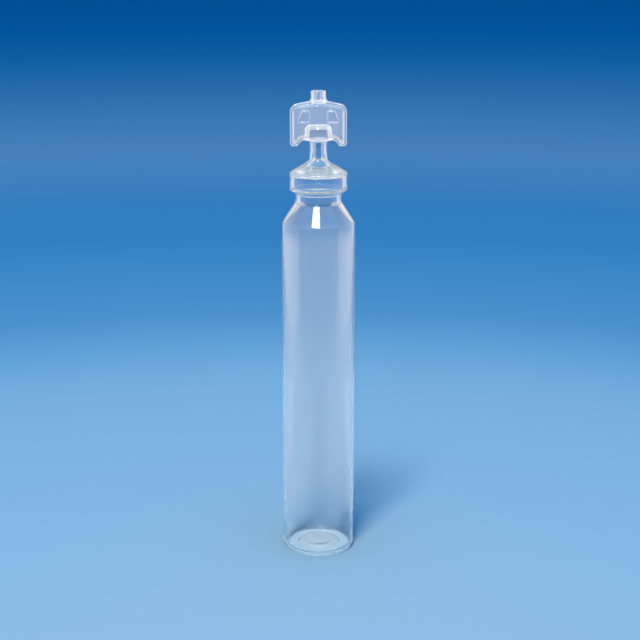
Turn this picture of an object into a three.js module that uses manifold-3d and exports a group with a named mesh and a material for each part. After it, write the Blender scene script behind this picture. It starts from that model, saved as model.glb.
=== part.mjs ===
// A single-dose plastic vial with a twist-off tab, standing on its foot ring.
// Millimetres, +Z up, origin on the floor at the middle of the foot ring, tab in the XZ plane.
import * as THREE from 'three';
import { mergeVertices } from 'three/addons/utils/BufferGeometryUtils.js';
import Module from 'manifold-3d';

const wasm = await Module();
wasm.setup();

// Tube: a thin straight wall, a cone shoulder and the neck
const BODY_RADIUS = 8.0;
const BODY_WALL = 0.5;
const BODY_HEIGHT = 75.4;
const SHOULDER_RISE = 4.6;
const SHOULDER_ROUND = 1.8;
const NECK_RADIUS = 4.95;
const NECK_WALL = 1.1;
const NECK_LENGTH = 1.65;
const NECK_ROUND = 1.2;

// Base: a rounded heel, a flat foot ring and a raised middle, welded to the tube
const WELD_HEIGHT = 3.0;
const HEEL_ROUND = 1.8;
const INNER_HEEL_ROUND = 1.3;
const BASE_WALL = 1.0;
const FOOT_INNER_RADIUS = 4.8;
const PUSH_UP_RADIUS = 3.7;
const PUSH_UP_RISE = 0.9;
const PUSH_UP_ROUND = 0.4;

// Collar: a hollow bead round the top of the neck
const COLLAR_RADIUS = 6.2;
const COLLAR_WALL = 1.1;
const COLLAR_HEIGHT = 4.75;
const COLLAR_CHAMFER = 0.95;
const COLLAR_FLOOR = 0.8;
const COLLAR_ROUND = 0.3;

// Nozzle: a cone on the collar, then a slightly waisted dropper tube
const CONE_RISE = 2.6;
const NOZZLE_ROOT_RADIUS = 1.95;
const NOZZLE_WAIST_RADIUS = 1.77;
const NOZZLE_TIP_RADIUS = 1.87;
const NOZZLE_BORE_RADIUS = 0.8;
const NOZZLE_LENGTH = 4.0;
const NOZZLE_WAIST_HEIGHT = 2.2;
const NOZZLE_ROUND = 1.0;

// Tear ring: the thin web that the twist shears
const TEAR_RING_RADIUS = 1.5;
const TEAR_RING_HEIGHT = 0.3;

// Sealing bulb: a hollow cup that closes the nozzle
const BULB_RADIUS = 3.25;
const BULB_TOP_RADIUS = 2.95;
const BULB_HEIGHT = 3.5;
const BULB_WALL = 0.8;
const BULB_FLOOR = 0.4;
const BULB_ROUND = 0.5;

// Twist tab: a thin rim round a thicker middle, with two wings beside the nozzle
const TAB_WIDTH = 12.1;
const TAB_ABOVE_BULB = 4.8;
const TAB_ROOF_FALL = 0.88;
const TAB_CORNER_ROUND = 1.75;
const RIM_THICKNESS = 1.9;
const RIM_WIDTH = 0.85;
const MIDDLE_THICKNESS = 2.6;
const MIDDLE_ROUND = 0.7;
const WING_DROP = 1.25;
const WING_TIP_WIDTH = 1.65;
const WING_TIP_ROUND = 0.55;
const WING_TAPER = 0.45;
const WING_ELBOW_DROP = 0.4;
const BULB_CLEARANCE = 0.3;
const STUB_ROOT_DEPTH = 1.6;

// Grip pockets: one shallow hollow each side of the middle, on both faces
const POCKET_WIDTH = 2.4;
const POCKET_HEIGHT = 2.3;
const POCKET_SLANT = 0.5;
const POCKET_DEPTH = 0.35;
const POCKET_OFFSET = 2.95;
const POCKET_BELOW_TOP = 3.25;
const POCKET_ROUND = 0.4;

// Filling stub: the cut-off tube end on top
const STUB_RADIUS = 1.62;
const STUB_BORE_RADIUS = 0.55;
const STUB_LENGTH = 2.15;
const STUB_FLOOR = 0.5;
const STUB_ROUND = 0.2;

// How finely round forms are divided
const TURN_SEGMENTS = 40;
const ARC_STEPS = 3;

// Radii and heights that follow from the sizes above
const bodyBore = BODY_RADIUS - BODY_WALL;
const neckBore = NECK_RADIUS - NECK_WALL;
const collarBore = COLLAR_RADIUS - COLLAR_WALL;
const neckZ = BODY_HEIGHT + SHOULDER_RISE;
const collarZ = neckZ + NECK_LENGTH;
const coneZ = collarZ + COLLAR_HEIGHT;
const tearZ = coneZ + CONE_RISE + NOZZLE_LENGTH;
const bulbZ = tearZ + TEAR_RING_HEIGHT;
const tabTop = BULB_HEIGHT + TAB_ABOVE_BULB;

const clearPlastic = new THREE.MeshStandardMaterial({
  color: 0xd3dfee, roughness: 0.18, metalness: 0, transparent: true, opacity: 0.45,
});

// Outline points from corners [across, up, rounding]; each rounding is an arc tangent to both sides
function outline(corners) {
  const points = [];
  corners.forEach(([across, up, rounding = 0], i) => {
    const corner = new THREE.Vector2(across, up);
    if (rounding === 0) {
      points.push(corner);
      return;
    }
    const toLast = new THREE.Vector2(...corners.at(i - 1).slice(0, 2)).sub(corner);
    const toNext = new THREE.Vector2(...corners[(i + 1) % corners.length].slice(0, 2)).sub(corner);
    const halfAngle = Math.acos(toLast.dot(toNext) / (toLast.length() * toNext.length())) / 2;
    const reach = Math.min(rounding / Math.tan(halfAngle), toLast.length() / 2, toNext.length() / 2);
    const start = corner.clone().addScaledVector(toLast.normalize(), reach);
    const towardsCentre = toLast.clone().add(toNext.normalize()).normalize();
    const centre = corner.clone().addScaledVector(towardsCentre, reach / Math.cos(halfAngle));
    const sweep = (Math.PI - 2 * halfAngle) * Math.sign(toNext.cross(toLast));
    for (let step = 0; step <= ARC_STEPS; step += 1) {
      points.push(start.clone().rotateAround(centre, sweep * step / ARC_STEPS));
    }
  });
  return points;
}

// A turned solid about Z; a profile off the axis is closed on itself
function turned(corners) {
  const profile = outline(corners);
  if (profile[0].x > 0) {
    profile.push(profile[0].clone());
  }
  if (THREE.ShapeUtils.area(profile) < 0) {
    profile.reverse();
  }
  return new THREE.LatheGeometry(profile, TURN_SEGMENTS).rotateX(Math.PI / 2);
}

// A flat plate of the given outline in the XZ plane, its thickness centred on y
function plate(corners, thickness, y = 0) {
  const shape = new THREE.Shape(outline(corners));
  const geometry = new THREE.ExtrudeGeometry(shape, { depth: thickness, bevelEnabled: false });
  return geometry.rotateX(Math.PI / 2).translate(0, y + thickness / 2, 0);
}

// Closed geometry to a solid that can be joined and cut, and back
function solidOf(geometry) {
  const bare = geometry.clone();
  bare.deleteAttribute('normal');
  bare.deleteAttribute('uv');
  const merged = mergeVertices(bare, 1e-5);
  return new wasm.Manifold(new wasm.Mesh({
    numProp: 3,
    vertProperties: new Float32Array(merged.attributes.position.array),
    triVerts: new Uint32Array(merged.index.array),
  }));
}

function geometryOf(solid) {
  const mesh = solid.getMesh();
  const geometry = new THREE.BufferGeometry();
  geometry.setAttribute('position', new THREE.BufferAttribute(mesh.vertProperties, 3));
  geometry.setIndex(new THREE.BufferAttribute(mesh.triVerts, 1));
  geometry.computeVertexNormals();
  return geometry;
}

// Left and right halves of an outline from the corners of its right half, listed upwards
function mirrored(rightHalf) {
  const leftHalf = rightHalf.map(([across, up, rounding]) => [-across, up, rounding]);
  return [...rightHalf, ...leftHalf.reverse()];
}

function makeTube() {
  return turned([
    [BODY_RADIUS, WELD_HEIGHT],
    [BODY_RADIUS, BODY_HEIGHT, SHOULDER_ROUND],
    [NECK_RADIUS, neckZ, NECK_ROUND],
    [NECK_RADIUS, collarZ],
    [neckBore, collarZ],
    [neckBore, neckZ, NECK_ROUND],
    [bodyBore, BODY_HEIGHT, SHOULDER_ROUND],
    [bodyBore, WELD_HEIGHT],
  ]);
}

function makeBase() {
  return turned([
    [0, PUSH_UP_RISE],
    [PUSH_UP_RADIUS, PUSH_UP_RISE, PUSH_UP_ROUND],
    [FOOT_INNER_RADIUS, 0],
    [BODY_RADIUS, 0, HEEL_ROUND],
    [BODY_RADIUS, WELD_HEIGHT],
    [bodyBore, WELD_HEIGHT],
    [bodyBore, BASE_WALL, INNER_HEEL_ROUND],
    [FOOT_INNER_RADIUS, BASE_WALL, PUSH_UP_ROUND],
    [PUSH_UP_RADIUS, PUSH_UP_RISE + BASE_WALL, PUSH_UP_ROUND],
    [0, PUSH_UP_RISE + BASE_WALL],
  ]);
}

function makeCollar() {
  return turned([
    [NECK_RADIUS, 0],
    [COLLAR_RADIUS, COLLAR_CHAMFER, COLLAR_ROUND],
    [COLLAR_RADIUS, COLLAR_HEIGHT],
    [collarBore, COLLAR_HEIGHT],
    [collarBore, COLLAR_FLOOR + COLLAR_CHAMFER, COLLAR_ROUND],
    [neckBore, COLLAR_FLOOR, COLLAR_ROUND],
    [neckBore, 0],
  ]);
}

function makeNozzle() {
  const coneSlope = CONE_RISE / (COLLAR_RADIUS - NOZZLE_ROOT_RADIUS);
  const throatZ = (collarBore - NOZZLE_BORE_RADIUS) * coneSlope;
  const tipZ = CONE_RISE + NOZZLE_LENGTH;
  return turned([
    [COLLAR_RADIUS, 0],
    [NOZZLE_ROOT_RADIUS, CONE_RISE, NOZZLE_ROUND],
    [NOZZLE_WAIST_RADIUS, CONE_RISE + NOZZLE_WAIST_HEIGHT],
    [NOZZLE_TIP_RADIUS, tipZ],
    [NOZZLE_BORE_RADIUS, tipZ],
    [NOZZLE_BORE_RADIUS, throatZ, NOZZLE_ROUND],
    [collarBore, 0],
  ]);
}

function makeTearRing() {
  return turned([
    [TEAR_RING_RADIUS, 0],
    [TEAR_RING_RADIUS, TEAR_RING_HEIGHT],
    [NOZZLE_BORE_RADIUS, TEAR_RING_HEIGHT],
    [NOZZLE_BORE_RADIUS, 0],
  ]);
}

function makeBulb() {
  const cavityTop = BULB_HEIGHT - BULB_WALL;
  return turned([
    [0, cavityTop],
    [BULB_TOP_RADIUS - BULB_WALL, cavityTop, BULB_ROUND],
    [BULB_RADIUS - BULB_WALL, BULB_FLOOR, BULB_ROUND],
    [NOZZLE_BORE_RADIUS, BULB_FLOOR],
    [NOZZLE_BORE_RADIUS, 0],
    [BULB_RADIUS, 0, BULB_ROUND],
    [BULB_TOP_RADIUS, BULB_HEIGHT, BULB_ROUND],
    [0, BULB_HEIGHT],
  ]);
}

// The tab's heights count from the underside of the bulb
function makeTab() {
  const side = TAB_WIDTH / 2;
  const rim = plate(mirrored([
    [BULB_RADIUS, 0],
    [side - WING_TIP_WIDTH - WING_TAPER, -WING_ELBOW_DROP, WING_TIP_ROUND],
    [side - WING_TIP_WIDTH, -WING_DROP, WING_TIP_ROUND],
    [side, -WING_DROP, WING_TIP_ROUND],
    [side, tabTop - TAB_ROOF_FALL, TAB_CORNER_ROUND],
    [STUB_RADIUS, tabTop],
  ]), RIM_THICKNESS);
  const middle = plate(mirrored([
    [BULB_RADIUS, RIM_WIDTH],
    [side - WING_TIP_WIDTH / 2, RIM_WIDTH - WING_DROP],
    [side - RIM_WIDTH, RIM_WIDTH],
    [side - RIM_WIDTH, tabTop - TAB_ROOF_FALL - RIM_WIDTH, MIDDLE_ROUND],
    [STUB_RADIUS, tabTop - RIM_WIDTH],
  ]), MIDDLE_THICKNESS);
  const stubRoot = turned([
    [0, tabTop - STUB_ROOT_DEPTH],
    [STUB_RADIUS, tabTop - STUB_ROOT_DEPTH],
    [STUB_RADIUS, tabTop],
    [0, tabTop],
  ]);
  const bulbSeat = turned([
    [0, -WING_DROP],
    [BULB_RADIUS + BULB_CLEARANCE, -WING_DROP],
    [BULB_RADIUS + BULB_CLEARANCE, 0],
    [BULB_TOP_RADIUS + BULB_CLEARANCE, BULB_HEIGHT],
    [0, BULB_HEIGHT],
  ]);
  let tab = solidOf(rim).add(solidOf(middle)).add(solidOf(stubRoot)).subtract(solidOf(bulbSeat));
  for (const hand of [-1, 1]) {
    for (const face of [-1, 1]) {
      tab = tab.subtract(solidOf(pocket(hand, face)));
    }
  }
  return geometryOf(tab);
}

// One pocket cutter, from its floor out past the face of the tab's middle
function pocket(hand, face) {
  const inner = POCKET_OFFSET - POCKET_WIDTH / 2;
  const outer = POCKET_OFFSET + POCKET_WIDTH / 2;
  const top = tabTop - POCKET_BELOW_TOP + POCKET_HEIGHT / 2;
  const bottom = top - POCKET_HEIGHT;
  return plate([
    [hand * inner, bottom, POCKET_ROUND],
    [hand * outer, bottom, POCKET_ROUND],
    [hand * (outer - POCKET_SLANT), top, POCKET_ROUND],
    [hand * inner, top, POCKET_ROUND],
  ], 2 * POCKET_DEPTH, face * MIDDLE_THICKNESS / 2);
}

function makeStub() {
  return turned([
    [0, STUB_FLOOR],
    [STUB_BORE_RADIUS, STUB_FLOOR],
    [STUB_BORE_RADIUS, STUB_LENGTH],
    [STUB_RADIUS, STUB_LENGTH, STUB_ROUND],
    [STUB_RADIUS, 0],
    [0, 0],
  ]);
}

// A named sub-part, its lower face at the given height in its group
function piece(name, geometry, height = 0) {
  const mesh = new THREE.Mesh(geometry, clearPlastic);
  mesh.name = name;
  mesh.position.z = height;
  return mesh;
}

const container = new THREE.Group();
container.add(
  piece('tube', makeTube()),
  piece('base', makeBase()),
  piece('neck_collar', makeCollar(), collarZ),
  piece('nozzle', makeNozzle(), coneZ),
);

const closure = new THREE.Group();
closure.position.z = bulbZ;
closure.add(
  piece('sealing_bulb', makeBulb()),
  piece('twist_tab', makeTab()),
  piece('filling_stub', makeStub(), tabTop),
);

const vial = new THREE.Group();
vial.add(container, piece('tear_ring', makeTearRing(), tearZ), closure);

export default vial;
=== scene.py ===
# %% [markdown]
# # A single-dose vial with a twist-off tab
# The real vial is blown and sealed from one soft tube of clear polypropylene, so it is one skin of
# plastic from the foot to the stub, and it comes apart only where the tab is twisted off. The CAD model
# holds its sizes and joints. This lesson gives it the fine mouldings, the hazy clear plastic and the soft
# studio light of a product photograph.

# %% Load the CAD frame
import cmath
import math

import bpy
import numpy as np
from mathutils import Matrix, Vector


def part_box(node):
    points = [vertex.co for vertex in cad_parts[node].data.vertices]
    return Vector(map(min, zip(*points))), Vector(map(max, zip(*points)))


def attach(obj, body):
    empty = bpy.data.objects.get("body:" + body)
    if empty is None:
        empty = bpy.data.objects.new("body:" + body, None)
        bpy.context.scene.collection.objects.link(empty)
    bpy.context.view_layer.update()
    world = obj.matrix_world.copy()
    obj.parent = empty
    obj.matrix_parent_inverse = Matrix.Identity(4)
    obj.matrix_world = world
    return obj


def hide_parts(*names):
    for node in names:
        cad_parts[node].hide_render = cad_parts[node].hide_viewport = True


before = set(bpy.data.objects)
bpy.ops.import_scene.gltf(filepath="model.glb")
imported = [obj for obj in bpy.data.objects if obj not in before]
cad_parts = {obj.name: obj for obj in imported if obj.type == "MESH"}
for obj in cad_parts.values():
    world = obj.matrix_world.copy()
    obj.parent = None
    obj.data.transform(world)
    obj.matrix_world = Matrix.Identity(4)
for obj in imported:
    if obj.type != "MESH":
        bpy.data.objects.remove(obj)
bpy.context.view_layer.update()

print("CAD nodes:", ", ".join(sorted(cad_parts)))

# %% [markdown]
# ## Sizes
# Every radius and height that the CAD model shows in a node's box is read from that box, so the mouldings
# follow the CAD model. Blender works in metres, but moulds are drawn in millimetres, so the meshes are
# drawn in millimetres too and scaled once, when they are made.

# %% Read the CAD sizes in millimetres
MM = 0.001


def radius(node):
    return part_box(node)[1].x / MM


def foot(node):
    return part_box(node)[0].z / MM


def top(node):
    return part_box(node)[1].z / MM


BODY_RADIUS = radius("tube")
COLLAR_RADIUS = radius("neck_collar")
BULB_RADIUS = radius("sealing_bulb")
TAB_SIDE = radius("twist_tab")
STUB_RADIUS = radius("filling_stub")
COLLAR_FOOT = foot("neck_collar")
CONE_FOOT = foot("nozzle")
TEAR_LINE = top("nozzle")
BULB_FOOT = foot("sealing_bulb")
BULB_TOP = top("sealing_bulb")
WING_TIP = foot("twist_tab")
TAB_TOP = top("twist_tab")
STUB_TOP = top("filling_stub")
print(f"tube {2 * BODY_RADIUS:.1f} mm across, tear line at {TEAR_LINE:.1f} mm, top at {STUB_TOP:.1f} mm")

# %% [markdown]
# ## Camera
# A product photograph of a small thing is taken with a long lens from close by, a little above it. The
# lens and the height here give the same bend of the circles at the foot and the collar as the photograph
# has.

# %% Make the camera
LENS = 75.0
CAMERA_PLACE = (0.00034, -0.2853, 0.1299)
CAMERA_PITCH = math.radians(15)
CAMERA_NEAREST = 0.01

camera = bpy.data.objects.new("camera", bpy.data.cameras.new("camera"))
camera.data.lens = LENS
camera.data.clip_start = CAMERA_NEAREST
camera.location = CAMERA_PLACE
camera.rotation_euler = (math.pi / 2 - CAMERA_PITCH, 0, 0)
bpy.context.scene.collection.objects.link(camera)
bpy.context.scene.camera = camera
print(f"camera looks down by {math.degrees(CAMERA_PITCH):.0f} degrees")

# %% [markdown]
# ## Rounded outlines
# No edge of a moulding is sharp: the mould is cut with round tools and the plastic bridges each corner.
# So an outline is a list of corners, each with its rounding, and the rounding is an arc that is tangent
# to both sides. The arc also gives the exact direction in which the surface faces, which clear plastic
# needs, because a bent normal bends everything that is seen through it. Complex numbers make the arc one
# line: to turn a direction is to multiply it.

# %% Turn corners into points and normals
ARC_STEPS = 10
SIDE_SHARE = 0.49  # the most of a side that one rounding may take


def rounded(corners, closed=False):
    """Points and normals along corners (across, up, rounding). A normal lies right of the way along them."""
    spots = [complex(across, up) for across, up, rounding in corners]
    points, normals = [], []
    for i, (across, up, rounding) in enumerate(corners):
        spot = spots[i]
        way_in = spot - spots[i - 1]
        way_out = spots[(i + 1) % len(spots)] - spot
        if rounding == 0:
            way = way_in if not closed and i == len(spots) - 1 else way_out
            points.append(spot)
            normals.append(-1j * way / abs(way))
            continue
        turn = cmath.phase(way_out / way_in)
        longest_reach = SIDE_SHARE * min(abs(way_in), abs(way_out))
        reach = min(rounding * math.tan(abs(turn) / 2), longest_reach)
        way = way_in / abs(way_in)
        start = spot - way * reach
        to_centre = 1j * way * reach / math.tan(turn / 2)
        for step in range(ARC_STEPS + 1):
            swing = cmath.exp(1j * turn * step / ARC_STEPS)
            points.append(start + to_centre - to_centre * swing)
            normals.append(-1j * way * swing)
    return np.array(points), np.array(normals)


def divided(points, normals, longest):
    """The same outline with its long straight stretches cut into steps of at most longest."""
    spaced_points, spaced_normals = [points[:1]], [normals[:1]]
    for i in range(1, len(points)):
        steps = max(1, math.ceil(abs(points[i] - points[i - 1]) / longest))
        share = np.arange(1, steps + 1) / steps
        spaced_points.append(points[i - 1] + share * (points[i] - points[i - 1]))
        spaced_normals.append(normals[i - 1] + share * (normals[i] - normals[i - 1]))
    return np.concatenate(spaced_points), np.concatenate(spaced_normals)


sample_corner = [(0, 0, 0), (1, 0, 0.2), (1, 1, 0)]
print(f"a rounded corner between two ends makes {len(rounded(sample_corner)[0])} points")

# %% [markdown]
# ## Turned mouldings
# The vial is round, so its mould halves were turned on a lathe. Blender's Screw modifier can spin a
# profile too, but a mesh made in code can be spaced freely round the axis and carries the outline's exact
# normals.

# %% Spin an outline into a mesh
TURN_STEPS = 192


def make_piece(name, points, faces, normals):
    """A smooth mesh object from points in millimetres."""
    mesh = bpy.data.meshes.new(name)
    mesh.from_pydata(np.asarray(points) * MM, [], [list(map(int, face)) for face in faces])
    mesh.shade_smooth()
    mesh.normals_split_custom_set_from_vertices(normals)
    piece = bpy.data.objects.new(name, mesh)
    bpy.context.scene.collection.objects.link(piece)
    print(f"{name}: {len(mesh.vertices)} points, {len(mesh.polygons)} faces")
    return piece


def turned(name, outline, relief=None, closed=False):
    """Spins an outline about Z. relief(turn, up, outward) lifts the surface along the radius."""
    points, normals = outline
    turns = np.linspace(0, 2 * math.pi, TURN_STEPS, endpoint=False)
    across, up = points.real[:, None], points.imag[:, None]
    outward, upward = normals.real[:, None], normals.imag[:, None]
    sideways = np.zeros((len(points), TURN_STEPS))
    lift = np.zeros((len(points), TURN_STEPS))
    if relief:
        tiny = 1e-4
        lift = relief(turns, up, outward)
        by_turn = (relief(turns + tiny, up, outward) - lift) / tiny
        by_height = (relief(turns, up + tiny, outward) - lift) / tiny
        sideways = -outward * by_turn / np.maximum(across, tiny)
        upward = upward - outward * by_height
    ones = np.ones_like(lift)
    rings = np.stack([(across + lift) * np.cos(turns), (across + lift) * np.sin(turns), up * ones], -1)
    facing = np.stack([
        outward * np.cos(turns) - sideways * np.sin(turns),
        outward * np.sin(turns) + sideways * np.cos(turns),
        upward * ones,
    ], -1)
    facing /= np.linalg.norm(facing, axis=-1, keepdims=True)
    return make_piece(name, *stitched(rings, facing, closed))


def stitched(rings, facing, closed):
    """Points, faces and normals of a spun grid; a ring on the axis becomes one point."""
    count = rings.shape[1]
    number = np.arange(rings.shape[0] * count).reshape(-1, count)
    if not closed:
        number[0] = number[0, 0]
        number[-1] = number[-1, 0]
    ahead = np.roll(number, -1, axis=1)
    last = len(number) if closed else len(number) - 1
    faces = []
    for i in range(last):
        j = (i + 1) % len(number)
        for corners in zip(number[i], ahead[i], ahead[j], number[j]):
            faces.append(list(dict.fromkeys(corners)))
    used = np.unique(number)
    slot = np.full(number.size, -1)
    slot[used] = np.arange(len(used))
    faces = [[slot[corner] for corner in face] for face in faces]
    return rings.reshape(-1, 3)[used], faces, facing.reshape(-1, 3)[used]


print(f"a turned ring has {TURN_STEPS} points")

# %% [markdown]
# ## The vial's outside
# One thin skin makes the foot, the tube, the shoulder, the collar and the dropper nozzle. The mould gives
# the outside its form. The foot is pushed up in the middle, so that the vial stands on a ring. The
# push-up is a gentle wave, because a sharp ring would show as a hard line through the clear wall.

# %% Draw the vial's outside
PUSH_UP_RISE = 0.9
PUSH_UP_RADIUS = 3.7
PUSH_UP_ROUND = 1.9
FOOT_INNER_RADIUS = 4.8
HEEL_ROUND = 1.8
SHOULDER_FOOT = 75.4
SHOULDER_ROUND = 1.2
NECK_FOOT = 80.0
NECK_RADIUS = 4.95
NECK_ROUND = 1.2
COLLAR_CHAMFER = 0.95
CONE_RISE = 2.6
NOZZLE_ROOT_RADIUS = 1.95
NOZZLE_WAIST_RADIUS = 1.77
NOZZLE_WAIST_RISE = 2.2
NOZZLE_TIP_RADIUS = 1.87
NOZZLE_ROUND = 0.5
WAIST_ROUND = 12.0
EDGE_ROUND = 0.3
LIP_ROUND = 0.12

nozzle_root = CONE_FOOT + CONE_RISE
outside = [
    (0, PUSH_UP_RISE, 0),
    (PUSH_UP_RADIUS, PUSH_UP_RISE, PUSH_UP_ROUND),
    (FOOT_INNER_RADIUS, 0, PUSH_UP_ROUND),
    (BODY_RADIUS, 0, HEEL_ROUND),
    (BODY_RADIUS, SHOULDER_FOOT, SHOULDER_ROUND),
    (NECK_RADIUS, NECK_FOOT, NECK_ROUND),
    (NECK_RADIUS, COLLAR_FOOT, EDGE_ROUND),
    (COLLAR_RADIUS, COLLAR_FOOT + COLLAR_CHAMFER, EDGE_ROUND),
    (COLLAR_RADIUS, CONE_FOOT, EDGE_ROUND),
    (NOZZLE_ROOT_RADIUS, nozzle_root, NOZZLE_ROUND),
    (NOZZLE_WAIST_RADIUS, nozzle_root + NOZZLE_WAIST_RISE, WAIST_ROUND),
    (NOZZLE_TIP_RADIUS, TEAR_LINE, LIP_ROUND),
]
print(f"outside has {len(outside)} corners")

# %% [markdown]
# ## The vial's inside
# The plastic is thin in the tube and thicker in the neck, and its throat opens like a trumpet below the
# bore, so that the last drops run out. The outline goes on from the nozzle's lip down the inside, so that
# light meets both faces of every wall. A Solidify modifier could make the wall, but only with one
# thickness and one form for both faces.

# %% Draw the vial's inside
BORE_RADIUS = 0.8
FUNNEL_RISE = 2.9
FUNNEL_ROUND = 2.0
FLARE_RISE = 0.9
FLARE_RADIUS = 1.9
FLARE_ROUND = 2.0
BODY_WALL = 0.5
BASE_WALL = 0.55
NECK_WALL = 0.8
COLLAR_FLOOR = 0.5
COLLAR_CEILING_DROP = 0.6
COLLAR_ROUND = 0.5
INNER_HEEL_ROUND = 1.3
LONGEST_STEP = 0.8

body_bore = BODY_RADIUS - BODY_WALL
neck_bore = NECK_RADIUS - NECK_WALL
collar_bore = COLLAR_RADIUS - NECK_WALL
collar_ceiling = CONE_FOOT - COLLAR_CEILING_DROP
collar_floor = COLLAR_FOOT + COLLAR_FLOOR
inside = [
    (BORE_RADIUS, TEAR_LINE, LIP_ROUND),
    (BORE_RADIUS, CONE_FOOT + FUNNEL_RISE, FUNNEL_ROUND),
    (FLARE_RADIUS, CONE_FOOT + FLARE_RISE, FLARE_ROUND),
    (collar_bore, collar_ceiling, COLLAR_ROUND),
    (collar_bore, collar_floor + COLLAR_CHAMFER, COLLAR_ROUND),
    (neck_bore, collar_floor, COLLAR_ROUND),
    (neck_bore, NECK_FOOT, NECK_ROUND),
    (body_bore, SHOULDER_FOOT, SHOULDER_ROUND),
    (body_bore, BASE_WALL, INNER_HEEL_ROUND),
    (FOOT_INNER_RADIUS, BASE_WALL, PUSH_UP_ROUND),
    (PUSH_UP_RADIUS, PUSH_UP_RISE + BASE_WALL, PUSH_UP_ROUND),
    (0, PUSH_UP_RISE + BASE_WALL, 0),
]
vial_outline = divided(*rounded(outside + inside), longest=LONGEST_STEP)
print(f"vial outline has {len(vial_outline[0])} points")

# %% [markdown]
# ## Relief of a blown wall
# The mould shapes only the outside. Inside, the soft tube keeps the faint lengthwise streaks of the die
# that it came out of, so the wall is nowhere quite even and what is seen through it wavers a little.
# Outside, the two mould halves leave a hair of plastic where they meet, down both sides of the vial. A
# bump map could fake both, but it would leave the tube's edge straight, so they are in the mesh.

# %% Make the vial moulding
STREAK_DEPTH = 0.035
# each streak wave: its count round the tube, its phase and its drift along each millimetre of height
STREAKS = ((2, 0.4, 0.03), (3, 2.1, -0.05), (5, 4.0, 0.02), (8, 1.3, -0.02), (13, 5.2, 0.01))
STREAK_START, STREAK_RISE = 3.0, 4.0
STREAK_END, STREAK_FALL = NECK_FOOT + 2.0, 3.0
PARTING_HEIGHT = 0.03
PARTING_WIDTH = 0.3
PARTING_START, PARTING_RISE = 1.0, 2.0


def blown_wall(turn, up, outward):
    """How far the vial's surface stands off its outline, in millimetres."""
    streaks = sum(np.cos(count * turn + phase + drift * up) for count, phase, drift in STREAKS)
    fade_in = np.clip((up - STREAK_START) / STREAK_RISE, 0, 1)
    fade = fade_in * np.clip((STREAK_END - up) / STREAK_FALL, 0, 1)
    inner = np.clip(-outward, 0, 1) * fade * STREAK_DEPTH * streaks / len(STREAKS)
    off_line = BODY_RADIUS * np.sin(turn) / PARTING_WIDTH
    parting_fade = np.clip((up - PARTING_START) / PARTING_RISE, 0, 1)
    outer = np.clip(outward, 0, 1) * parting_fade * PARTING_HEIGHT * np.exp(-off_line**2)
    return inner + outer


vial = turned("vial_moulding", vial_outline, relief=blown_wall)

# %% [markdown]
# ## The tear web
# The twist shears a thin web between the nozzle's lip and the bulb. It has a notch all round, where the
# plastic is thinnest and gives way. It is a ring of its own here, because it stays on the nozzle as the
# torn lip when the tab lifts off.

# %% Make the tear web
SEAM = 0.012
WEB_INSET = 0.08
NOTCH_DEPTH = 0.2
WEB_ROUND = 0.04

web_radius = NOZZLE_TIP_RADIUS - WEB_INSET
web_foot = TEAR_LINE + SEAM
web_top = BULB_FOOT - SEAM
web_outline = rounded([
    (BORE_RADIUS, web_foot, WEB_ROUND),
    (web_radius, web_foot, WEB_ROUND),
    (web_radius - NOTCH_DEPTH, (web_foot + web_top) / 2, WEB_ROUND),
    (web_radius, web_top, WEB_ROUND),
    (BORE_RADIUS, web_top, WEB_ROUND),
], closed=True)
web = turned("tear_web", web_outline, closed=True)

# %% [markdown]
# ## The tab moulding
# The mould halves squeeze the top of the soft tube flat, into a tab with a thin rim, a thicker middle,
# two wings, a hollow bulb over the nozzle and a stub where the tube was cut. Each form flows into the
# next with a small fillet. Such a shape is awkward to build face by face, so it is written as a field
# instead: a number that is negative in the plastic and zero on its surface. Forms join and cut with soft
# versions of min and max, which make the fillets.

# %% Measure the distance to a form
def outline_distance(spots, across, up):
    """Signed distance in a plane to a closed outline of complex points, negative inside."""
    distance = np.inf
    inside_it = False
    for start, end in zip(spots, np.roll(spots, -1)):
        run, rise = end.real - start.real, end.imag - start.imag
        x, z = across - start.real, up - start.imag
        share = np.clip((x * run + z * rise) / (run**2 + rise**2), 0, 1)
        distance = np.minimum(distance, np.hypot(x - share * run, z - share * rise))
        if rise:
            level = (start.imag > up) != (end.imag > up)
            inside_it = inside_it ^ (level & (x < z * run / rise))
    return np.where(inside_it, -distance, distance)


def slab(distance, y, half_thickness, rounding):
    """Field of a plate in the XZ plane with round edges, from the distance to its outline."""
    side = distance + rounding
    face = np.abs(y) - half_thickness + rounding
    beyond = np.hypot(np.maximum(side, 0), np.maximum(face, 0))
    return beyond + np.minimum(np.maximum(side, face), 0) - rounding


def turned_plug(low, low_radius, high, high_radius, rounding, x, y, z):
    """Field of a turned, slightly tapered plug about Z with round edges."""
    low_corner = complex(low_radius - rounding, low + rounding)
    high_corner = complex(high_radius - rounding, high - rounding)
    spots = [low_corner, high_corner, -high_corner.conjugate(), -low_corner.conjugate()]
    return outline_distance(spots, np.hypot(x, y), z) - rounding


def soft_join(one, other, fillet):
    """Field of two forms together, with a fillet where they meet."""
    share = np.clip(0.5 + 0.5 * (other - one) / fillet, 0, 1)
    return other + share * (one - other) - fillet * share * (1 - share)


def soft_cut(one, cutter, fillet):
    """Field of a form without the part that lies in the cutter, with a fillet along the cut."""
    return -soft_join(-one, cutter, fillet)


def bevelled_slab(distance, y, half_thickness, bevel, fillet):
    """Field of a plate in the XZ plane with slanted edges, from the distance to its outline."""
    face = np.abs(y) - half_thickness
    plate = soft_cut(distance, -face, fillet)
    return soft_cut(plate, -(distance + face + bevel) / math.sqrt(2), fillet)


unit_square = np.array([-1 - 1j, 1 - 1j, 1 + 1j, -1 + 1j])
square_middle = outline_distance(unit_square, np.zeros(1), np.zeros(1))[0]
print(f"field in the middle of a square of 2 mm: {square_middle:.1f}")

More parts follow.
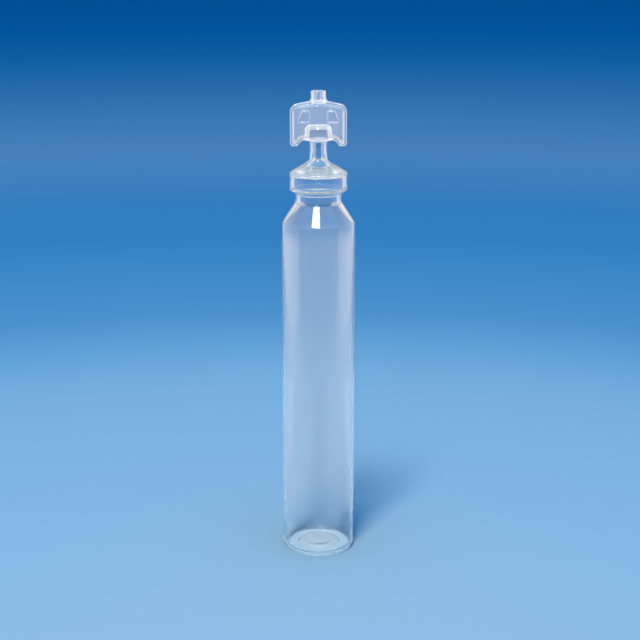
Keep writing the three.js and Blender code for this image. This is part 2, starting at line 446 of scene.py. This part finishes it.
# %% [markdown]
# ## The tab's outlines
# The tab is a flat plate whose lower edge arches over the nozzle between two wings. Two shallow slanted
# pockets on each face give the fingertips a hold. Both outlines are drawn as corners with roundings, like
# the vial's, and one half is enough, because the tab is the same on both sides.

# %% Draw the tab and its pockets
TAB_ROOF_FALL = 0.88
TAB_CORNER_ROUND = 1.75
WING_TIP_WIDTH = 1.65
WING_TAPER = 0.45
WING_ELBOW_DROP = 0.4
WING_ROUND = 0.6
POCKET_OFFSET = 3.2
POCKET_BELOW_TOP = 3.25
POCKET_WIDTH = 2.8
POCKET_HEIGHT = 2.6
POCKET_SLANT = 1.0
POCKET_ROUND = 0.4


def both_sides(right_half):
    """Corners of the right half, and then the same mirrored to the left."""
    left_half = [(-across, up, rounding) for across, up, rounding in reversed(right_half)]
    return right_half + left_half


tab_outline = rounded(both_sides([
    (BULB_RADIUS, BULB_FOOT, 0),
    (TAB_SIDE - WING_TIP_WIDTH - WING_TAPER, BULB_FOOT - WING_ELBOW_DROP, WING_ROUND),
    (TAB_SIDE - WING_TIP_WIDTH, WING_TIP, WING_ROUND),
    (TAB_SIDE, WING_TIP, WING_ROUND),
    (TAB_SIDE, TAB_TOP - TAB_ROOF_FALL, TAB_CORNER_ROUND),
    (STUB_RADIUS, TAB_TOP, 0),
]), closed=True)[0]

pocket_left = POCKET_OFFSET - POCKET_WIDTH / 2
pocket_right = POCKET_OFFSET + POCKET_WIDTH / 2
pocket_foot = TAB_TOP - POCKET_BELOW_TOP - POCKET_HEIGHT / 2
pocket_top = TAB_TOP - POCKET_BELOW_TOP + POCKET_HEIGHT / 2
pocket_outline = rounded([
    (pocket_left, pocket_foot, POCKET_ROUND),
    (pocket_right, pocket_foot, POCKET_ROUND),
    (pocket_right - POCKET_SLANT, pocket_top, POCKET_ROUND),
    (pocket_left, pocket_top, POCKET_ROUND),
], closed=True)[0]
print(f"tab outline has {len(tab_outline)} points, pocket outline {len(pocket_outline)}")

# %% [markdown]
# ## The tab's plate
# A thin rim follows the outline. The middle is the same outline, drawn in by the rim's width, and
# thicker, with a slanted edge. The pockets are hardly deep, with shallow walls and a fine bead round
# them, because a steep wall in clear plastic mirrors the room as a hard bar.

# %% Write the plate as a field
RIM_THICKNESS = 1.7
RIM_WIDTH = 0.55
RIM_ROUND = 0.3
MIDDLE_THICKNESS = 2.6
MIDDLE_BEVEL = 0.45
POCKET_DEPTH = 0.1
POCKET_WALL_RUN = 2.5
POCKET_BEAD = 0.04
FINE_FILLET = 0.1


def plate_field(x, y, z):
    edge = outline_distance(tab_outline, x, z)
    rim = slab(edge, y, RIM_THICKNESS / 2, RIM_ROUND)
    middle = bevelled_slab(edge + RIM_WIDTH, y, MIDDLE_THICKNESS / 2, MIDDLE_BEVEL, FINE_FILLET)
    depth = MIDDLE_THICKNESS / 2 - np.abs(y)
    from_pocket = outline_distance(pocket_outline, np.abs(x), z)
    bead = np.hypot(from_pocket, depth) - POCKET_BEAD
    wall = (from_pocket + POCKET_WALL_RUN * depth) / math.hypot(1, POCKET_WALL_RUN)
    pocket = soft_cut(wall, POCKET_DEPTH - depth, FINE_FILLET)
    plate = soft_join(rim, middle, FINE_FILLET)
    plate = soft_cut(plate, pocket, FINE_FILLET)
    return soft_join(plate, bead, FINE_FILLET)


print(f"plate is {MIDDLE_THICKNESS} mm thick in the middle and {RIM_THICKNESS} mm at the rim")

# %% [markdown]
# ## The bulb and the stub
# The bulb is a hollow cup with a flat foot over the nozzle, and its hollow opens into the bore. The stub
# is the end of the soft tube that was cut off after filling, with a blind bore and a short cone at its
# root. All of them are turned plugs, added to the plate or cut out of it.

# %% Write the whole tab as a field
BULB_TOP_RADIUS = 2.95
BULB_ROUND = 0.85
BULB_DROP = 0.35
BULB_ROOF = 0.8
BULB_WALL = 0.8
BULB_FLOOR = 0.4
BULB_FILLET = 0.3
BULB_FOOT_FILLET = 0.4
CAVITY_ROUND = 0.55
CAVITY_FOOT_FILLET = 0.2
STUB_BORE_RADIUS = 0.55
STUB_FLOOR = 0.1
STUB_ROUND = 0.2
STUB_ROOT = 0.8
STUB_ROOT_RADIUS = 0.8
STUB_ROOT_FILLET = 0.3
STUB_FILLET = 0.6
STUB_BORE_FILLET = 0.15
OVERSHOOT = 1.0  # how far a cutter reaches past what it cuts


def bulb_fields(x, y, z):
    """Fields of the bulb, of its hollow and of the throat below it."""
    bulb = turned_plug(
        BULB_FOOT - BULB_ROUND, BULB_RADIUS, BULB_TOP - BULB_DROP, BULB_TOP_RADIUS, BULB_ROUND, x, y, z
    )
    bulb = soft_cut(bulb, z - BULB_FOOT, BULB_FOOT_FILLET)
    cavity = turned_plug(
        BULB_FOOT + BULB_FLOOR - CAVITY_ROUND, BULB_RADIUS - BULB_WALL,
        BULB_TOP - BULB_ROOF, BULB_TOP_RADIUS - BULB_WALL, CAVITY_ROUND, x, y, z,
    )
    cavity = soft_cut(cavity, z - BULB_FOOT - BULB_FLOOR, CAVITY_FOOT_FILLET)
    throat = turned_plug(BULB_FOOT - OVERSHOOT, BORE_RADIUS, BULB_FOOT + OVERSHOOT, BORE_RADIUS, 0, x, y, z)
    return bulb, cavity, throat


def stub_fields(x, y, z):
    """Fields of the stub with its root and of its bore."""
    stub = turned_plug(TAB_TOP - STUB_ROUND, STUB_RADIUS, STUB_TOP, STUB_RADIUS, STUB_ROUND, x, y, z)
    root = turned_plug(TAB_TOP - STUB_ROOT, STUB_ROOT_RADIUS, TAB_TOP, STUB_RADIUS, 0, x, y, z)
    bore = turned_plug(
        TAB_TOP + STUB_FLOOR, STUB_BORE_RADIUS, STUB_TOP + OVERSHOOT, STUB_BORE_RADIUS, STUB_ROUND, x, y, z
    )
    return soft_join(stub, root, STUB_ROOT_FILLET), bore


def tab_field(x, y, z):
    bulb, cavity, throat = bulb_fields(x, y, z)
    stub, bore = stub_fields(x, y, z)
    plastic = soft_join(plate_field(x, y, z), stub, STUB_FILLET)
    plastic = soft_join(plastic, bulb, BULB_FILLET)
    plastic = soft_cut(plastic, cavity, FINE_FILLET)
    plastic = soft_cut(plastic, throat, FINE_FILLET)
    return soft_cut(plastic, bore, STUB_BORE_FILLET)


under_stub = tab_field(np.zeros(1), np.zeros(1), np.full(1, TAB_TOP))[0]
print(f"field under the stub's bore: {under_stub:.2f} mm, where negative is plastic")

# %% [markdown]
# ## A skin on the field
# The field is sampled on a fine grid. Each grid cell that the surface passes through gets one point, each
# grid edge that it crosses gets one face, and every point then slides along the field's slope until it
# lies on the surface. The slope is also the surface's exact normal. Blender's boolean and bevel modifiers
# could build the tab too, but their small uneven faces would show as ripples in clear plastic.

# %% Make the tab moulding
GRID_STEP = 0.1
SLIDES = 4
LEAST_GAIN = 0.1  # keeps a slide short where the field is nearly flat


def slope(field, points):
    """The field's slope at each point, along X, Y and Z."""
    tiny = 0.01
    shifts = np.eye(3) * tiny
    return np.stack([
        (field(*(points + shift).T) - field(*(points - shift).T)) / (2 * tiny) for shift in shifts
    ], -1)


def skin(name, field, low, high):
    """A mesh piece on the field's zero surface inside a box."""
    axes = [np.arange(start - GRID_STEP, end + 2 * GRID_STEP, GRID_STEP) for start, end in zip(low, high)]
    solid = field(*np.meshgrid(*axes, indexing="ij", sparse=True)) < 0
    corners = [
        solid[i:solid.shape[0] - 1 + i, j:solid.shape[1] - 1 + j, k:solid.shape[2] - 1 + k]
        for i in (0, 1) for j in (0, 1) for k in (0, 1)
    ]
    crossed = np.any(corners, axis=0) & ~np.all(corners, axis=0)
    number = np.full(crossed.shape, -1)
    number[crossed] = np.arange(crossed.sum())
    cells = np.argwhere(crossed)
    points = np.stack([axis[cell] + GRID_STEP / 2 for axis, cell in zip(axes, cells.T)], -1)
    for _ in range(SLIDES):
        steep = slope(field, points)
        gain = np.maximum((steep**2).sum(1), LEAST_GAIN)
        points = points - steep * np.clip(field(*points.T) / gain, -GRID_STEP, GRID_STEP)[:, None]
    faces = []
    for axis in range(3):
        order = (axis, (axis + 1) % 3, (axis + 2) % 3)
        side, cell = solid.transpose(order), number.transpose(order)
        lower, upper = side[:-1, 1:-1, 1:-1], side[1:, 1:-1, 1:-1]
        i, j, k = np.nonzero(lower != upper)
        quads = np.stack([cell[i, j, k], cell[i, j + 1, k], cell[i, j + 1, k + 1], cell[i, j, k + 1]], -1)
        turned_over = ~lower[i, j, k]
        quads[turned_over] = quads[turned_over, ::-1]
        faces.extend(quads)
    steep = slope(field, points)
    return make_piece(name, points, faces, steep / np.linalg.norm(steep, axis=1, keepdims=True))


tab = skin(
    "tab_moulding", tab_field,
    (-TAB_SIDE, -BULB_RADIUS, WING_TIP), (TAB_SIDE, BULB_RADIUS, STUB_TOP),
)

# %% [markdown]
# ## Colours and nodes
# Colours are written as the sRGB hex values of a paint program. The renderer adds up light, so it needs
# them linear. Materials are node trees. A tree could be clicked together in the shader editor, but a few
# small functions keep it readable in code.

# %% Helpers for materials
def linear(hex_colour):
    """Linear RGBA from an sRGB hex value such as 7fa3c0."""
    shades = [int(hex_colour[i:i + 2], 16) / 255 for i in (0, 2, 4)]
    return [s / 12.92 if s <= 0.04045 else ((s + 0.055) / 1.055) ** 2.4 for s in shades] + [1.0]


def add_node(tree, kind, settings=None, links=None):
    """Adds a shader node, sets its sockets or properties and links its sockets to other nodes' outputs."""
    node = tree.nodes.new("ShaderNode" + kind)
    for name, value in (settings or {}).items():
        if isinstance(name, int) or name in node.inputs:
            node.inputs[name].default_value = value
        else:
            setattr(node, name, value)
    for name, source in (links or {}).items():
        tree.links.new(source, node.inputs[name])
    return node


def spread(tree, value, start=0.0, end=1.0, low=0.0, high=1.0):
    """A value that goes from low at start to high at end, and stays there."""
    settings = {"From Min": start, "From Max": end, "To Min": low, "To Max": high}
    return add_node(tree, "MapRange", settings, {"Value": value}).outputs["Result"]


def combined(tree, operation, one, other):
    """Two values through one arithmetic node."""
    return add_node(tree, "Math", {"operation": operation}, {0: one, 1: other}).outputs[0]


def stretched(tree, place, by):
    """A place with each axis multiplied."""
    return add_node(tree, "VectorMath", {"operation": "MULTIPLY", 1: by}, {0: place}).outputs[0]


def length(tree, place):
    """How far a place lies from the origin."""
    return add_node(tree, "VectorMath", {"operation": "LENGTH"}, {0: place}).outputs["Value"]


print(f"the sRGB grey 808080 is {linear('808080')[0]:.2f} in linear light")

# %% [markdown]
# ## Where the wall was blown
# The neck and the tab are pressed between cold steel faces and come out glossy. The tube is blown against
# the mould and cools more freely, so its skin is satin. In the middle of the foot a disc of white is painted
# into the plastic: a painted reflection that stands in for the bright image of the heel, which the clear
# foot bends into view. One material could be painted for each zone, but the zones have soft edges, so the
# place on the vial decides.

# %% Mark the blown wall and the painted foot glint
BLOWN_FOOT, BLOWN_TOP, BLOWN_FADE = 8.0, 75.5, 4.0
# a white disc painted into the foot's plastic: a painted reflection, standing in for the heel's bright
# refracted image
GLINT_DISC_RADIUS, GLINT_DISC_FADE, GLINT_DISC_WHITE = 4.0, 0.4, 0.08


def blown_zone(tree, height):
    """1 on the blown tube and 0 above and below it."""
    above = spread(tree, height, BLOWN_FOOT * MM, (BLOWN_FOOT + BLOWN_FADE) * MM)
    below = spread(tree, height, BLOWN_TOP * MM, (BLOWN_TOP - BLOWN_FADE) * MM)
    return combined(tree, "MULTIPLY", above, below)


def foot_glint_white(tree, place):
    """The share of white painted into a disc in the foot: a painted reflection of the heel's bright image.
    """
    middle = length(tree, place)
    return spread(tree, middle, GLINT_DISC_RADIUS * MM, (GLINT_DISC_RADIUS - GLINT_DISC_FADE) * MM, high=GLINT_DISC_WHITE)


# the seal in this print is the white disc painted into the foot as a painted reflection
print(f"blown wall from {BLOWN_FOOT} to {BLOWN_TOP} mm, seal {2 * GLINT_DISC_RADIUS} mm across")

# %% [markdown]
# ## Ripples and streaks
# A moulded skin mirrors the room a little unevenly, in ripples some millimetres wide, and the blown wall
# has fine lengthwise streaks as well. They are too low to model as faces, so they are bump maps from
# noise.

# %% Ripple and streak the skin
RIPPLE_SIZE = 5.0
RIPPLE_HEIGHT = 0.0008
STREAK_WIDTH = 1.0
STREAK_LENGTH = 60.0
STREAK_HEIGHT = 0.01
SMOOTHEST, DULLEST = 0.01, 0.05


def noise(tree, place, size):
    """Smooth noise whose lumps are about size millimetres wide."""
    settings = {"Scale": 1 / (size * MM), "Detail": 0.0}
    return add_node(tree, "TexNoise", settings, {"Vector": place}).outputs["Fac"]


def bumped(tree, height, tall, **under):
    """Normals of a surface with bumps of tall millimetres, on top of the normals under it."""
    links = {"Height": height, **under}
    return add_node(tree, "Bump", {"Distance": tall * MM, "Strength": 1.0}, links).outputs["Normal"]


def rippled_skin(tree, place, blown):
    """Roughness, normals and streaks of the skin."""
    ripple = noise(tree, place, RIPPLE_SIZE)
    drawn_out = stretched(tree, place, (1, 1, STREAK_WIDTH / STREAK_LENGTH))
    streaks = noise(tree, drawn_out, STREAK_WIDTH)
    normals = bumped(tree, ripple, RIPPLE_HEIGHT)
    normals = bumped(tree, combined(tree, "MULTIPLY", streaks, blown), STREAK_HEIGHT, Normal=normals)
    return spread(tree, ripple, low=SMOOTHEST, high=DULLEST), normals, streaks


print(f"ripples {RIPPLE_SIZE} mm wide, streaks {STREAK_WIDTH} mm wide and {STREAK_LENGTH} mm long")

# %% [markdown]
# ## What the plastic lets through to the floor
# A clear tube is a lens: light that meets it near the middle goes on, and light that meets its sides is
# bent away, so its shadow has a light core and dark sides. The renderer could trace that bent light, but
# only with a lot of noise. So for shadow rays the skin is a plain filter instead: nearly clear in front,
# dark on the back of the tube away from its middle, and dark round the heel, close to where the vial
# meets the paper.

# %% Filter the shadow
FRONT_SHADOW, BACK_SHADOW = 0.95, 0.12
CORE_RADIUS, WALL_RADIUS = 7.2, 7.6
BACK_FADE = 2.0
LIGHT_CORE, DARK_SIDE, CORE_DARKNESS = 2.5, 6.0, 0.2
HEEL_LOW, HEEL_HIGH = 1.0, 1.8


def shadow_filter(tree, place, aside, deep, height):
    """A see-through shader that lets the share of lamp light through that a clear tube would."""
    off_axis = length(tree, stretched(tree, place, (1, 1, 0)))
    wall = spread(tree, off_axis, CORE_RADIUS * MM, WALL_RADIUS * MM)
    back = spread(tree, deep, -BACK_FADE * MM, BACK_FADE * MM)
    off_middle = add_node(tree, "Math", {"operation": "ABSOLUTE"}, {0: aside}).outputs[0]
    side = spread(tree, off_middle, LIGHT_CORE * MM, DARK_SIDE * MM, low=CORE_DARKNESS)
    heel = spread(tree, height, HEEL_HIGH * MM, HEEL_LOW * MM)
    dark = combined(tree, "MAXIMUM", combined(tree, "MULTIPLY", back, side), heel)
    dark_wall = combined(tree, "MULTIPLY", wall, dark)
    shade = spread(tree, dark_wall, low=FRONT_SHADOW, high=BACK_SHADOW)
    return add_node(tree, "BsdfTransparent", None, {"Color": shade}).outputs[0]


print(f"each face passes {FRONT_SHADOW:.0%} of the lamp light in front and {BACK_SHADOW:.0%} at the darkest")

# %% [markdown]
# ## Milky clear polypropylene
# Polypropylene is clear but never quite: small crystals in it scatter light, so it looks milky where the
# eye looks through a lot of it, at the edges and in the thick rims, and nearly clear where the wall is
# thin. A white mixed into a glass shader would make every face equally milky, so most of the milk is a
# scattering volume inside the closed skin, and only a little white is on its surface, in streaks. The
# satin of the blown wall is a coat: rough, so that it spreads the room into a soft sheen, and with a high
# index, so that the sheen is strong enough to be seen over the glossy plastic.

# %% Make the plastic
MILK_COLOUR = "ffffff"
SKIN_WHITE = "ffffff"
PLASTIC_IOR = 1.49
SATIN_DULLNESS = 0.38
SATIN_IOR = 2.4
LEAST_WHITE, MOST_WHITE = 0.4, 1.6  # between and on the streaks, as shares of a plastic's white


def moulded_polypropylene(name, milk, white):
    """The plastic, with the share of light that each millimetre scatters and each face turns white."""
    material = bpy.data.materials.new(name)
    material.use_nodes = True
    tree = material.node_tree
    tree.nodes.clear()
    place = add_node(tree, "TexCoord").outputs["Object"]
    aside, deep, height = add_node(tree, "SeparateXYZ", None, {"Vector": place}).outputs
    blown = blown_zone(tree, height)
    roughness, normals, streaks = rippled_skin(tree, place, blown)
    clear = spread(tree, streaks, low=1 - LEAST_WHITE * white, high=1 - MOST_WHITE * white)
    # painted reflection: white in a disc in the foot stands in for the heel's bright image seen through it
    clear = combined(tree, "SUBTRACT", clear, foot_glint_white(tree, place))
    plastic = add_node(
        tree, "BsdfPrincipled",
        {
            "Base Color": linear(SKIN_WHITE),
            "IOR": PLASTIC_IOR,
            "Coat Roughness": SATIN_DULLNESS,
            "Coat IOR": SATIN_IOR,
        },
        {"Roughness": roughness, "Coat Weight": blown, "Normal": normals, "Transmission Weight": clear},
    ).outputs[0]
    filtered = shadow_filter(tree, place, aside, deep, height)
    in_shadow = add_node(tree, "LightPath").outputs["Is Shadow Ray"]
    surface = add_node(tree, "MixShader", None, {0: in_shadow, 1: plastic, 2: filtered}).outputs[0]
    depth = add_node(tree, "VolumeScatter", {"Color": linear(MILK_COLOUR), "Density": milk / MM}).outputs[0]
    add_node(tree, "OutputMaterial", None, {"Surface": surface, "Volume": depth})
    return material


# Blown polypropylene: the thin stretched wall of the vial looks clear, with a soft satin sheen on the tube.
thin_wall = moulded_polypropylene("blown_polypropylene", milk=0.02, white=0.003)
# Pressed polypropylene: the thick tab and web look whiter, with a sharp gloss and milky depth.
thick_wall = moulded_polypropylene("pressed_polypropylene", milk=0.13, white=0.015)
for piece, finish in ((vial, thin_wall), (web, thick_wall), (tab, thick_wall)):
    piece.data.materials.append(finish)
print("materials:", thin_wall.name, thick_wall.name)

# %% [markdown]
# ## Bodies and joints
# The real vial opens by a twist and a pull. Each moulding rides on the CAD body that it dresses, so that
# it follows those joints, and hides the solids that it stands for. Parenting by hand would do the same,
# but the frame also keeps a list of what stands for what.

# %% Hang the mouldings on the CAD bodies
for piece, body, nodes in (
    (vial, "vial", ("tube", "base", "neck_collar", "nozzle")),
    (web, "torn_lip", ("tear_ring",)),
    (tab, "tab", ("sealing_bulb", "twist_tab", "filling_stub")),
):
    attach(piece, body)
    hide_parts(*nodes)
    print(f"{piece.name} rides on {body}")

# %% [markdown]
# ## Floor
# The vial stands on a long sheet of paper. A picture could hang behind the vial instead, but clear
# plastic bends what lies behind it, so a real sheet is laid out, one flat face that reaches far past the
# view.

# %% Lay the floor
FLOOR_REACH = 12.0
floor_corners = ((-1, -1), (1, -1), (1, 1), (-1, 1))

floor_mesh = bpy.data.meshes.new("paper_floor")
floor_mesh.from_pydata(
    [(x * FLOOR_REACH, y * FLOOR_REACH, 0) for x, y in floor_corners], [], [(0, 1, 2, 3)]
)
floor = bpy.data.objects.new("paper_floor", floor_mesh)
bpy.context.scene.collection.objects.link(floor)
print(f"floor reaches {FLOOR_REACH:.0f} m each way")

# %% [markdown]
# ## Graded paper
# The paper is matt, pale blue in front of the vial, and deepens into the distance with one paler band. A
# photographer gets this with lamps on a plain sheet. Here the grades are printed on the sheet, so that
# they stay as they are when a lamp changes. The colour depends on the distance, through a square root
# that gives the near paper most of the grades.

# %% Grade the paper
PALEST_SPOT = (0, -0.1, 0)
FARTHEST = 4.0
GRADE_BEND = 0.5
CHALKINESS = 0.5
FLOOR_GRADES = (
    (0.13, "acc7cb"), (0.21, "9cc0c9"), (0.24, "93bcc7"), (0.28, "63a1ba"), (0.34, "4893b4"),
    (0.37, "4b94b4"), (0.44, "73a2b7"), (0.52, "639bb2"), (0.65, "308faf"), (0.80, "0e88ac"),
    (1.0, "0b85a8"),
)

# Matt graded paper: no gloss at all, so that the vial's shadow stays soft and even.
paper = bpy.data.materials.new("matt_graded_paper")
paper.use_nodes = True
tree = paper.node_tree
tree.nodes.clear()
place = add_node(tree, "TexCoord").outputs["Object"]
distance = add_node(tree, "VectorMath", {"operation": "DISTANCE", 1: PALEST_SPOT}, {0: place})
farness = add_node(tree, "Math", {"operation": "DIVIDE", 1: FARTHEST}, {0: distance.outputs["Value"]})
share = add_node(tree, "Math", {"operation": "POWER", 1: GRADE_BEND}, {0: farness.outputs[0]})
grade = add_node(tree, "ValToRGB", None, {"Fac": share.outputs[0]})
chalk = add_node(tree, "BsdfDiffuse", {"Roughness": CHALKINESS}, {"Color": grade.outputs["Color"]})
add_node(tree, "OutputMaterial", None, {"Surface": chalk.outputs[0]})
floor_mesh.materials.append(paper)
ramp = grade.color_ramp
for position, colour in FLOOR_GRADES[1:-1]:
    ramp.elements.new(position)
for stop, (position, colour) in zip(ramp.elements, FLOOR_GRADES):
    stop.position = position
    stop.color = linear(colour)
print("floor grades:", len(ramp.elements))

# %% [markdown]
# ## Lamps for the vial and lamps for the paper
# Clear plastic shows the lamps round it more than it is lit by them, and the paper should keep a deep
# shadow. A photographer would flag off each lamp with black card. Here light linking does that: each lamp
# lights either the mouldings or the sheet.

# %% Sort what is lit
AIM = Vector((0, 0, 0.05))

mouldings = bpy.data.collections.new("mouldings")
for piece in (vial, web, tab):
    mouldings.objects.link(piece)
sheet = bpy.data.collections.new("sheet")
sheet.objects.link(floor)


def panel(name, place, aim, size, radiance, colour, lights_up, shape="RECTANGLE"):
    """An evenly bright flat lamp that faces its aim and lights one collection."""
    light = bpy.data.lights.new(name, "AREA")
    light.shape = shape
    light.size, light.size_y = size
    light.energy = radiance * math.pi * size[0] * size[1]
    light.color = linear(colour)[:3]
    lamp = bpy.data.objects.new(name, light)
    lamp.location = place
    lamp.rotation_mode = "QUATERNION"
    lamp.rotation_quaternion = (Vector(place) - Vector(aim)).to_track_quat("Z", "Y")
    lamp.visible_camera = False
    bpy.context.scene.collection.objects.link(lamp)
    lamp.light_linking.receiver_collection = lights_up
    return lamp


def around(azimuth, elevation, distance):
    """A place round the vial: azimuth 0 is in front, and a negative one is to the left."""
    a, e = math.radians(azimuth), math.radians(elevation)
    return AIM + distance * Vector((math.sin(a) * math.cos(e), -math.cos(a) * math.cos(e), math.sin(e)))


# %% [markdown]
# ## Soft box and boards
# The soft box hangs high in front, a little to the left, and makes the tall white highlight on the
# shoulder. White boards at both sides make the bright bands along the tube's walls. The boards in front
# are only mirrored, because seen through the tube from the side they would look like the level of a
# liquid.

# %% Hang the soft box and the boards
KEY_DISTANCE = 1.2
KEY_AZIMUTH, KEY_ELEVATION = -12, 57
KEY_SIZE = (0.42, 0.32)
KEY_RADIANCE = 22.0
KEY_COLOUR = "ffffff"
BOARD_X = 0.2
BOARD_HEIGHT = 0.24
BOARD_COLOUR = "fff0dc"
# each board: its near and far end along Y in metres, and its radiance
FRONT_BOARD = (-0.1, 0.12, 1.1)
REAR_BOARD = (0.12, 0.45, 0.56)

key_place = around(KEY_AZIMUTH, KEY_ELEVATION, KEY_DISTANCE)
panel("soft_box", key_place, AIM, KEY_SIZE, KEY_RADIANCE, KEY_COLOUR, mouldings)
for side in (-1, 1):
    for board in (FRONT_BOARD, REAR_BOARD):
        near, far, radiance = board
        middle = (near + far) / 2
        board_place = (side * BOARD_X, middle, BOARD_HEIGHT / 2)
        board_aim = (0, middle, BOARD_HEIGHT / 2)
        board_size = (far - near, BOARD_HEIGHT)
        lamp = panel("white_board", board_place, board_aim, board_size, radiance, BOARD_COLOUR, mouldings)
        lamp.visible_transmission = board is REAR_BOARD
print(f"soft box {KEY_DISTANCE} m away, boards {BOARD_X} m to each side")

# %% [markdown]
# ## Cards and ceiling
# White cards on the floor brighten the sides of the lower tube from below, and a wide pale ceiling gives
# the satin coat and the flat tab something even to mirror.

# %% Lay the cards and hang the ceiling
CARD_NEAR, CARD_FAR = 0.015, 0.2
CARD_DEPTH = 0.24
CARD_LIFT = 0.001
CARD_RADIANCE = 0.17
CARD_COLOUR = "f6f6ff"
CEILING_HEIGHT = 1.2
CEILING_SIZE = (2.4, 2.4)
CEILING_RADIANCE = 0.8
CEILING_COLOUR = "e6ecff"

card_size = (CARD_FAR - CARD_NEAR, CARD_DEPTH)
for side in (-1, 1):
    middle = side * (CARD_NEAR + CARD_FAR) / 2
    above = (middle, 0, CEILING_HEIGHT)
    panel("white_card", (middle, 0, CARD_LIFT), above, card_size, CARD_RADIANCE, CARD_COLOUR, mouldings)
ceiling_place = (0, 0, CEILING_HEIGHT)
panel("ceiling", ceiling_place, AIM, CEILING_SIZE, CEILING_RADIANCE, CEILING_COLOUR, mouldings)
print(f"cards {CARD_NEAR} to {CARD_FAR} m from the middle, ceiling {CEILING_HEIGHT} m up")

# %% [markdown]
# ## Light on the paper
# A smaller lamp next to the soft box throws the vial's shadow to the back right, and a wide blue fill
# keeps the shadow blue. The real vial also gathers light under its foot. That light isn't traced here, so
# a small lamp inside the foot, which shines down, stands in for it.

# %% Light the paper
PAPER_AZIMUTH, PAPER_ELEVATION = -16, 61.5
PAPER_LAMP_SIZE = (0.29, 0.32)
PAPER_LAMP_RADIANCE = 32.0
GLOW_COLOUR = "c6cff2"
GLOW_RADIANCE = 7.2
GLOW_RADIUS = 0.0063
GLOW_HEIGHT = 0.003
GLOW_SPREAD = math.radians(90)
FILL_COLOUR = "1494ee"
FILL_STRENGTH = 2.2
FILL_SPREAD = math.radians(150)

paper_place = around(PAPER_AZIMUTH, PAPER_ELEVATION, KEY_DISTANCE)
panel("paper_lamp", paper_place, AIM, PAPER_LAMP_SIZE, PAPER_LAMP_RADIANCE, KEY_COLOUR, sheet)
glow_size = (2 * GLOW_RADIUS, 2 * GLOW_RADIUS)
glow = panel(
    "foot_glow", (0, 0, GLOW_HEIGHT), (0, 0, 0), glow_size, GLOW_RADIANCE, GLOW_COLOUR, sheet, shape="DISK"
)
glow.data.spread = GLOW_SPREAD
paper_fill = bpy.data.objects.new("paper_fill", bpy.data.lights.new("paper_fill", "SUN"))
paper_fill.data.energy = FILL_STRENGTH
paper_fill.data.angle = FILL_SPREAD
paper_fill.data.color = linear(FILL_COLOUR)[:3]
bpy.context.scene.collection.objects.link(paper_fill)
paper_fill.light_linking.receiver_collection = sheet

# %% [markdown]
# ## Room
# The room is dim, so that it hardly lights the paper. Mirrored or seen through the plastic it is paler,
# as a studio with white walls is, and beyond the floor's end it is the deep blue of the far paper, so
# that no horizon shows in a low view. One even background can't be all three, so the kind of ray decides.

# %% Build the room
ROOM_COLOUR = "48607a"
SEEN_ROOM_COLOUR = "a8b4c0"
HORIZON_COLOUR = "00468c"

world = bpy.data.worlds.new("dim_studio")
world.use_nodes = True
tree = world.node_tree
tree.nodes.clear()
path = add_node(tree, "LightPath").outputs
seen = combined(tree, "MAXIMUM", path["Is Glossy Ray"], path["Is Transmission Ray"])
dim = add_node(tree, "Background", {"Color": linear(ROOM_COLOUR)}).outputs[0]
pale = add_node(tree, "Background", {"Color": linear(SEEN_ROOM_COLOUR)}).outputs[0]
beyond = add_node(tree, "Background", {"Color": linear(HORIZON_COLOUR)}).outputs[0]
room = add_node(tree, "MixShader", None, {0: seen, 1: dim, 2: pale}).outputs[0]
room = add_node(tree, "MixShader", None, {0: path["Is Camera Ray"], 1: room, 2: beyond}).outputs[0]
add_node(tree, "OutputWorld", None, {"Surface": room})
bpy.context.scene.world = world
print("room:", world.name)

# %% [markdown]
# ## Light paths
# Light crosses many faces on its way through a hollow clear thing, so it may bounce often. Caustics, the
# light that plastic bends onto other things, are off: they would speckle the paper and let the vial's own
# lamps leak onto it. The shadow filter and the lamp in the foot take their place. The picture is shown as
# it is lit, with no film look.

# %% Set the light paths and the view
LIGHT_BOUNCES = 24
VOLUME_BOUNCES = 8

bpy.context.scene.view_settings.view_transform = "Standard"
cycles = bpy.context.scene.cycles
cycles.max_bounces = LIGHT_BOUNCES
cycles.transmission_bounces = LIGHT_BOUNCES
cycles.glossy_bounces = LIGHT_BOUNCES
cycles.transparent_max_bounces = LIGHT_BOUNCES
cycles.volume_bounces = VOLUME_BOUNCES
cycles.caustics_refractive = False
cycles.caustics_reflective = False
print(f"light may bounce {LIGHT_BOUNCES} times")
